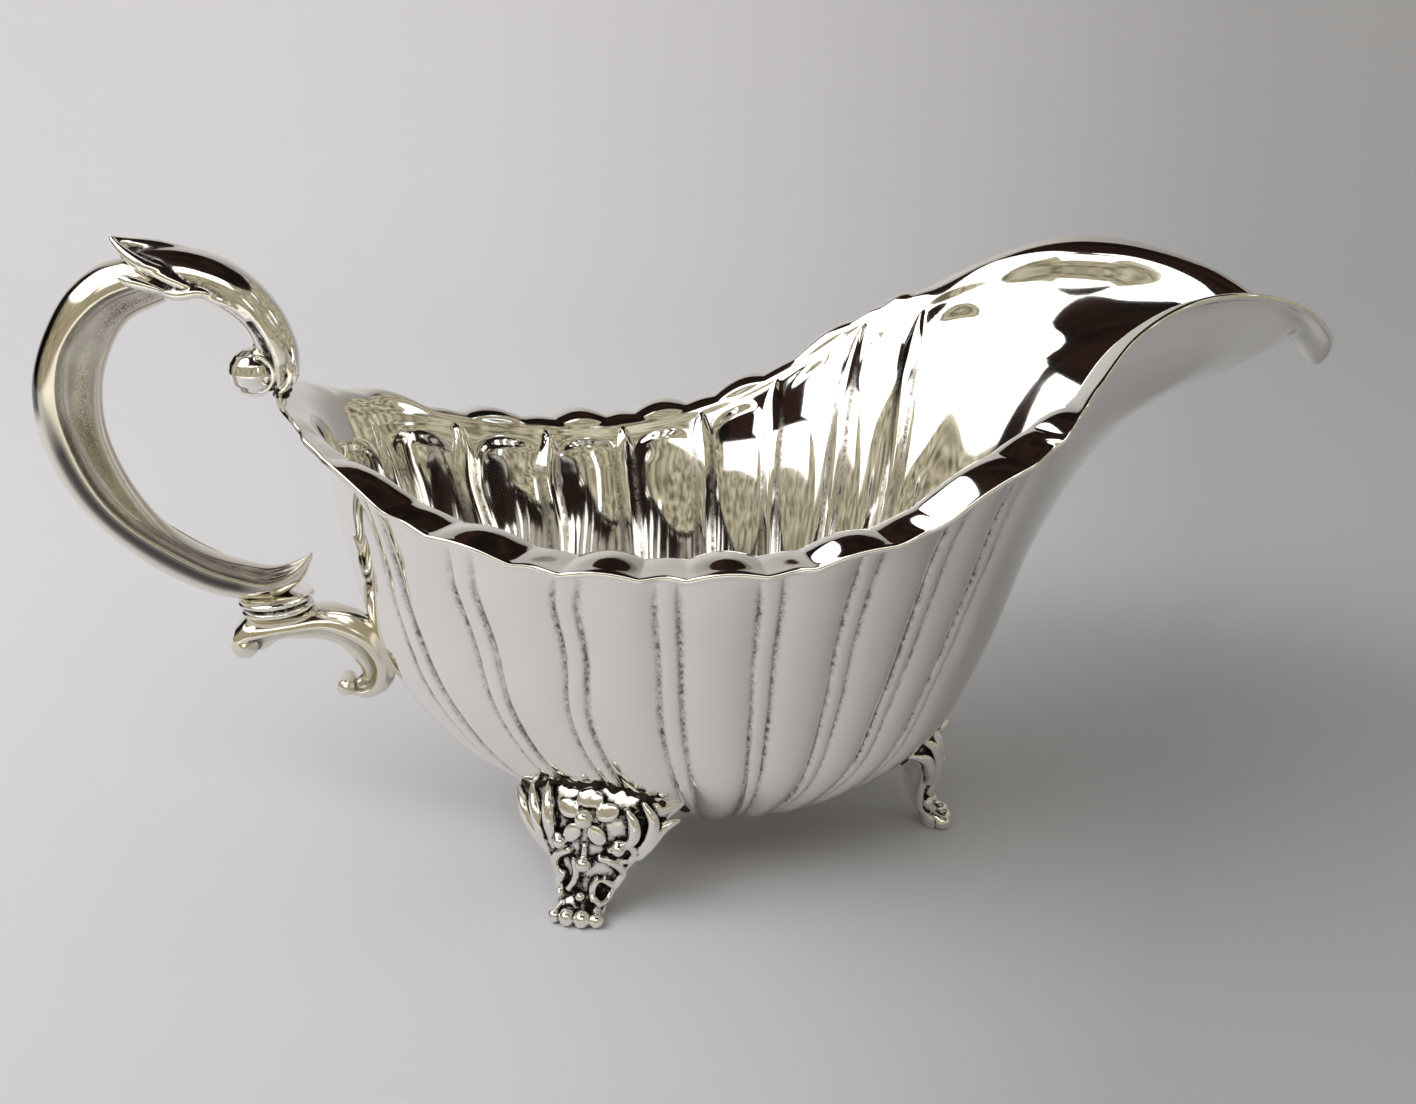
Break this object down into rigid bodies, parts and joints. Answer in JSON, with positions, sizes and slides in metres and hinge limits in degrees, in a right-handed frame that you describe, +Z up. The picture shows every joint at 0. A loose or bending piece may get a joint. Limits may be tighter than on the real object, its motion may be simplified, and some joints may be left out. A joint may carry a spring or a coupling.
{
  "type": "sauce boat",
  "caption": "Fluted metal sauce boat with a broad flared spout, a scalloped rim, a cast scroll handle with a leaf cap, and cast paw feet.",
  "frame": {"origin": "bottom centre of the bounding box, on the plane the feet stand on", "axes": "+X from the handle to the spout, +Y to the left seen from the handle, +Z up"},
  "size_m": [0.2214, 0.1162, 0.1126],
  "materials": {
    "bowl_silver": "raised and polished silver, mirror bright, with light tarnish in the grooves",
    "handle_silver": "cast and polished silver with dark tarnish in the hollows",
    "foot_silver": "cast and chased silver, oxidised black in the recesses",
    "solder_grey": "dull oxidised silver solder"
  },
  "bodies": {
    "root": {"bowl": "bowl_silver", "handle_stem": "handle_silver", "handle_leaf_cap": "handle_silver", "handle_ball": "handle_silver", "handle_collar": "handle_silver", "handle_bracket": "handle_silver", "foot_left": "foot_silver", "foot_right": "foot_silver", "foot_spout": "foot_silver", "solder_foot_left": "solder_grey", "solder_foot_right": "solder_grey", "solder_foot_spout": "solder_grey", "solder_bracket": "solder_grey", "solder_leaf_cap": "solder_grey"}
  },
  "joints": []
}
